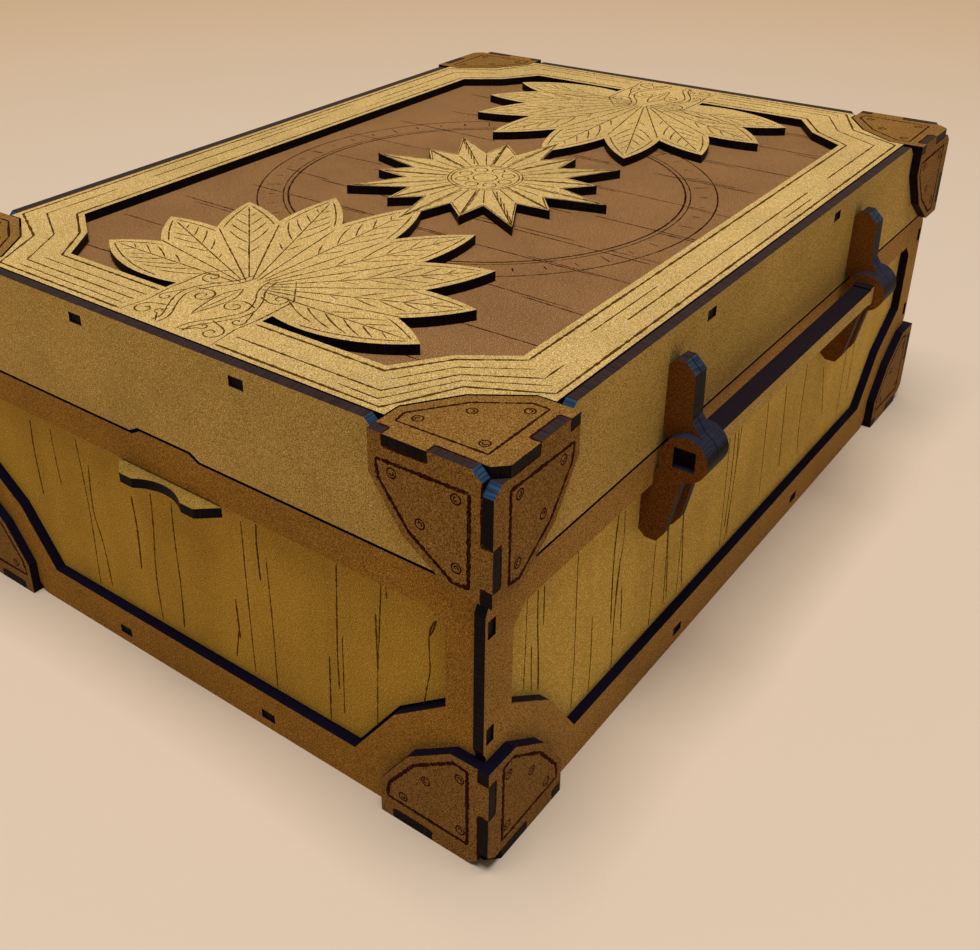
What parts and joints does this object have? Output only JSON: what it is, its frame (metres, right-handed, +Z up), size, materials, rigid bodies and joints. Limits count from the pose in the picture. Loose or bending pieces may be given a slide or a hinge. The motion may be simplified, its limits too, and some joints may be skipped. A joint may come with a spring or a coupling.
{
  "type": "dice storage chest",
  "caption": "Sheet-built dice storage chest with framed walls, bracketed corners, a hinged lid with a raised ornament, a divided dice tray and a sliding drawer.",
  "frame": {"origin": "on the ground, under the centre of the whole object's bounding box, which is 0.9 mm towards the drawer and 5.7 mm towards the hinge from the middle of the walls", "axes": "+X along the chest towards the drawer, +Y across it towards the hinge, +Z up"},
  "size_m": [0.2978, 0.2234, 0.114],
  "materials": {
    "tan_board": "matte",
    "brown_board": "matte"
  },
  "bodies": {
    "chest": {"deck": "tan_board", "end_frame_drawer": "brown_board", "end_frame_far": "brown_board", "end_panel_drawer": "tan_board", "end_panel_far": "tan_board", "floor": "tan_board", "foot_drawer_front_cap": "brown_board", "foot_drawer_front_end_plate": "brown_board", "foot_drawer_front_side_plate": "brown_board", "foot_drawer_hinge_cap": "brown_board", "foot_drawer_hinge_end_plate": "brown_board", "foot_drawer_hinge_side_plate": "brown_board", "foot_far_front_cap": "brown_board", "foot_far_front_end_plate": "brown_board", "foot_far_front_side_plate": "brown_board", "foot_far_hinge_cap": "brown_board", "foot_far_hinge_end_plate": "brown_board", "foot_far_hinge_side_plate": "brown_board", "hinge_bar": "tan_board", "hinge_bracket_drawer_high": "brown_board", "hinge_bracket_drawer_low": "brown_board", "hinge_bracket_far_high": "brown_board", "hinge_bracket_far_low": "brown_board", "runner_front": "tan_board", "runner_hinge": "tan_board", "side_frame_front": "brown_board", "side_frame_hinge": "brown_board", "side_panel_front": "tan_board", "side_panel_hinge": "tan_board", "tray_cross_dividers": "tan_board", "tray_divider_front": "tan_board", "tray_divider_hinge": "tan_board"},
    "lid": {"hinge_straps_drawer": "brown_board", "hinge_straps_far": "brown_board", "lid_drawer_front_cap": "brown_board", "lid_drawer_front_end_plate": "brown_board", "lid_drawer_front_side_plate": "brown_board", "lid_drawer_hinge_cap": "brown_board", "lid_drawer_hinge_end_plate": "brown_board", "lid_drawer_hinge_side_plate": "brown_board", "lid_far_front_cap": "brown_board", "lid_far_front_end_plate": "brown_board", "lid_far_front_side_plate": "brown_board", "lid_far_hinge_cap": "brown_board", "lid_far_hinge_end_plate": "brown_board", "lid_far_hinge_side_plate": "brown_board", "lid_overlay": "tan_board", "lid_panel": "brown_board", "lid_wall_drawer": "tan_board", "lid_wall_far": "tan_board", "lid_wall_front": "tan_board", "lid_wall_hinge": "tan_board"},
    "drawer": {"drawer_back": "tan_board", "drawer_bottom": "tan_board", "drawer_front": "tan_board", "drawer_inner_front": "tan_board", "drawer_pull": "tan_board", "drawer_side_front": "tan_board", "drawer_side_hinge": "tan_board"}
  },
  "joints": [
    {"name": "lid_hinge", "type": "hinge", "parent": "chest", "child": "lid", "pos_m": [0, 0.1053, 0.0805], "axis": [-1, 0, 0], "range_deg": [0, 192]},
    {"name": "drawer_slide", "type": "slide", "parent": "chest", "child": "drawer", "axis": [1, 0, 0], "range_m": [0, 0.2]}
  ]
}
